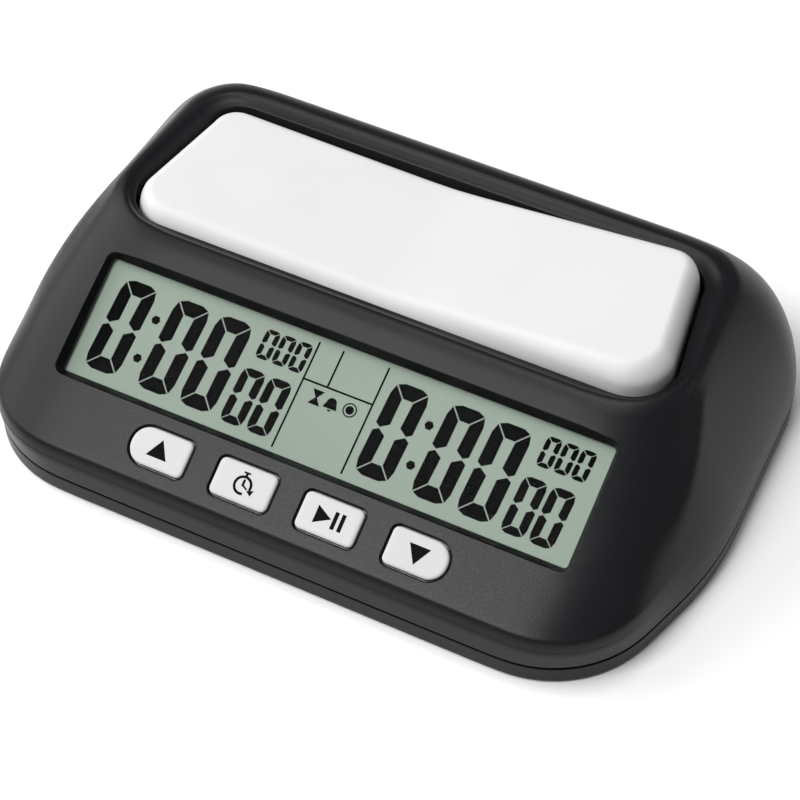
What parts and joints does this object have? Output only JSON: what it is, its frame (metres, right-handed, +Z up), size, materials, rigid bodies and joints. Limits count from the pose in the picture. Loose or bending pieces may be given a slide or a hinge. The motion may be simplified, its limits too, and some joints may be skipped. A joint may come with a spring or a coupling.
{
  "type": "chess clock",
  "caption": "Digital chess clock: wedge case with sloping display, a row of keys and a wide white V-shaped rocker that stops one player's clock and starts the other's.",
  "frame": {"origin": "centre of the footprint on the table, under the rubber feet", "axes": "+Z up, +X to the right seen from the display side, -Y towards the display side"},
  "size_m": [0.1528, 0.1, 0.0397],
  "materials": {
    "case_plastic": "fine-grain matt charcoal ABS",
    "rocker_plastic": "satin white ABS",
    "key_plastic": "satin white ABS",
    "carrier_plastic": "light grey acetal",
    "foot_rubber": "matt black rubber",
    "screw_steel": "zinc plated steel",
    "shaft_steel": "ground steel",
    "clip_steel": "blackened spring steel",
    "silicone": "translucent grey silicone",
    "carbon": "carbon-filled silicone",
    "window_clear": "clear acrylic",
    "frame_plastic": "black ABS",
    "lcd_film": "grey-green polarising film",
    "lcd_glass": "soda glass",
    "zebra_silicone": "pink and black layered silicone",
    "board_laminate": "green solder mask on glass epoxy",
    "epoxy": "black potting epoxy",
    "crystal_can": "drawn nickel silver can",
    "capacitor_body": "fired ceramic body with tinned ends",
    "switch_plastic": "black nylon",
    "plunger_plastic": "red acetal",
    "ribbon_plastic": "polyester flat cable",
    "cell_wrap": "plain printed sleeve, no marks",
    "contact_steel": "nickel plated spring steel",
    "wire_red": "PVC insulation",
    "wire_black": "PVC insulation",
    "wire_blue": "PVC insulation",
    "piezo_brass": "rolled brass with a fired ceramic disc",
    "switch_can": "tin plated steel can",
    "knob_plastic": "light grey nylon"
  },
  "bodies": {
    "case": {"upper_housing": "case_plastic", "lower_housing": "case_plastic", "rubber_feet": "foot_rubber", "case_screws": "screw_steel", "rocker_shaft": "shaft_steel", "shaft_clips": "clip_steel", "keypad_membrane": "silicone", "contact_pills": "carbon", "lcd_window": "window_clear", "lcd_frame": "frame_plastic", "lcd_front_polariser": "lcd_film", "lcd_front_glass": "lcd_glass", "lcd_back_glass": "lcd_glass", "lcd_reflector": "lcd_film", "zebra_strip": "zebra_silicone", "main_board": "board_laminate", "board_screws": "screw_steel", "chip_cover": "epoxy", "quartz_crystal": "crystal_can", "board_capacitors": "capacitor_body", "switch_board": "board_laminate", "switch_board_screws": "screw_steel", "switch_body_left": "switch_plastic", "switch_body_right": "switch_plastic", "board_ribbon": "ribbon_plastic", "battery_cell": "cell_wrap", "battery_spring": "contact_steel", "battery_spring_plate": "contact_steel", "battery_positive_contact": "contact_steel", "wire_positive": "wire_red", "wire_negative": "wire_black", "wire_switched": "wire_red", "wires_buzzer": "wire_blue", "piezo_disc": "piezo_brass", "piezo_retainer": "frame_plastic", "power_switch_body": "switch_can"},
    "rocker": {"rocker_cap": "rocker_plastic", "rocker_carrier": "carrier_plastic"},
    "key_up": {"key_up": "key_plastic"},
    "key_timer": {"key_timer": "key_plastic"},
    "key_play": {"key_play": "key_plastic"},
    "key_down": {"key_down": "key_plastic"},
    "plunger_left": {"switch_plunger_left": "plunger_plastic"},
    "plunger_right": {"switch_plunger_right": "plunger_plastic"},
    "door": {"battery_door": "case_plastic"},
    "power_knob": {"power_switch_knob": "knob_plastic"}
  },
  "joints": [
    {"name": "rocker_tilt", "type": "hinge", "parent": "case", "child": "rocker", "pos_m": [0, 0.0141, 0.0266], "axis": [0, 1, 0], "range_deg": [0, 5.2]},
    {"name": "key_up_press", "type": "slide", "parent": "case", "child": "key_up", "axis": [0, 0.4695, -0.8829], "range_m": [0, 0.0008], "stiffness_N_per_m": 1200},
    {"name": "key_timer_press", "type": "slide", "parent": "case", "child": "key_timer", "axis": [0, 0.4695, -0.8829], "range_m": [0, 0.0008], "stiffness_N_per_m": 1200},
    {"name": "key_play_press", "type": "slide", "parent": "case", "child": "key_play", "axis": [0, 0.4695, -0.8829], "range_m": [0, 0.0008], "stiffness_N_per_m": 1200},
    {"name": "key_down_press", "type": "slide", "parent": "case", "child": "key_down", "axis": [0, 0.4695, -0.8829], "range_m": [0, 0.0008], "stiffness_N_per_m": 1200},
    {"name": "plunger_left_slide", "type": "slide", "parent": "case", "child": "plunger_left", "axis": [0, 0, 1], "range_m": [0, 0.0013]},
    {"name": "plunger_right_slide", "type": "slide", "parent": "case", "child": "plunger_right", "axis": [0, 0, 1], "range_m": [-0.0013, 0]},
    {"name": "door_lift", "type": "slide", "parent": "case", "child": "door", "axis": [0, 0, -1], "range_m": [0, 0.015]},
    {"name": "power_slide", "type": "slide", "parent": "case", "child": "power_knob", "axis": [1, 0, 0], "range_m": [0, 0.003]}
  ],
  "couplings": [
    {"joint": "plunger_left_slide", "follows": "rocker_tilt", "m_per_rad": 0.014},
    {"joint": "plunger_right_slide", "follows": "rocker_tilt", "m_per_rad": -0.014}
  ]
}
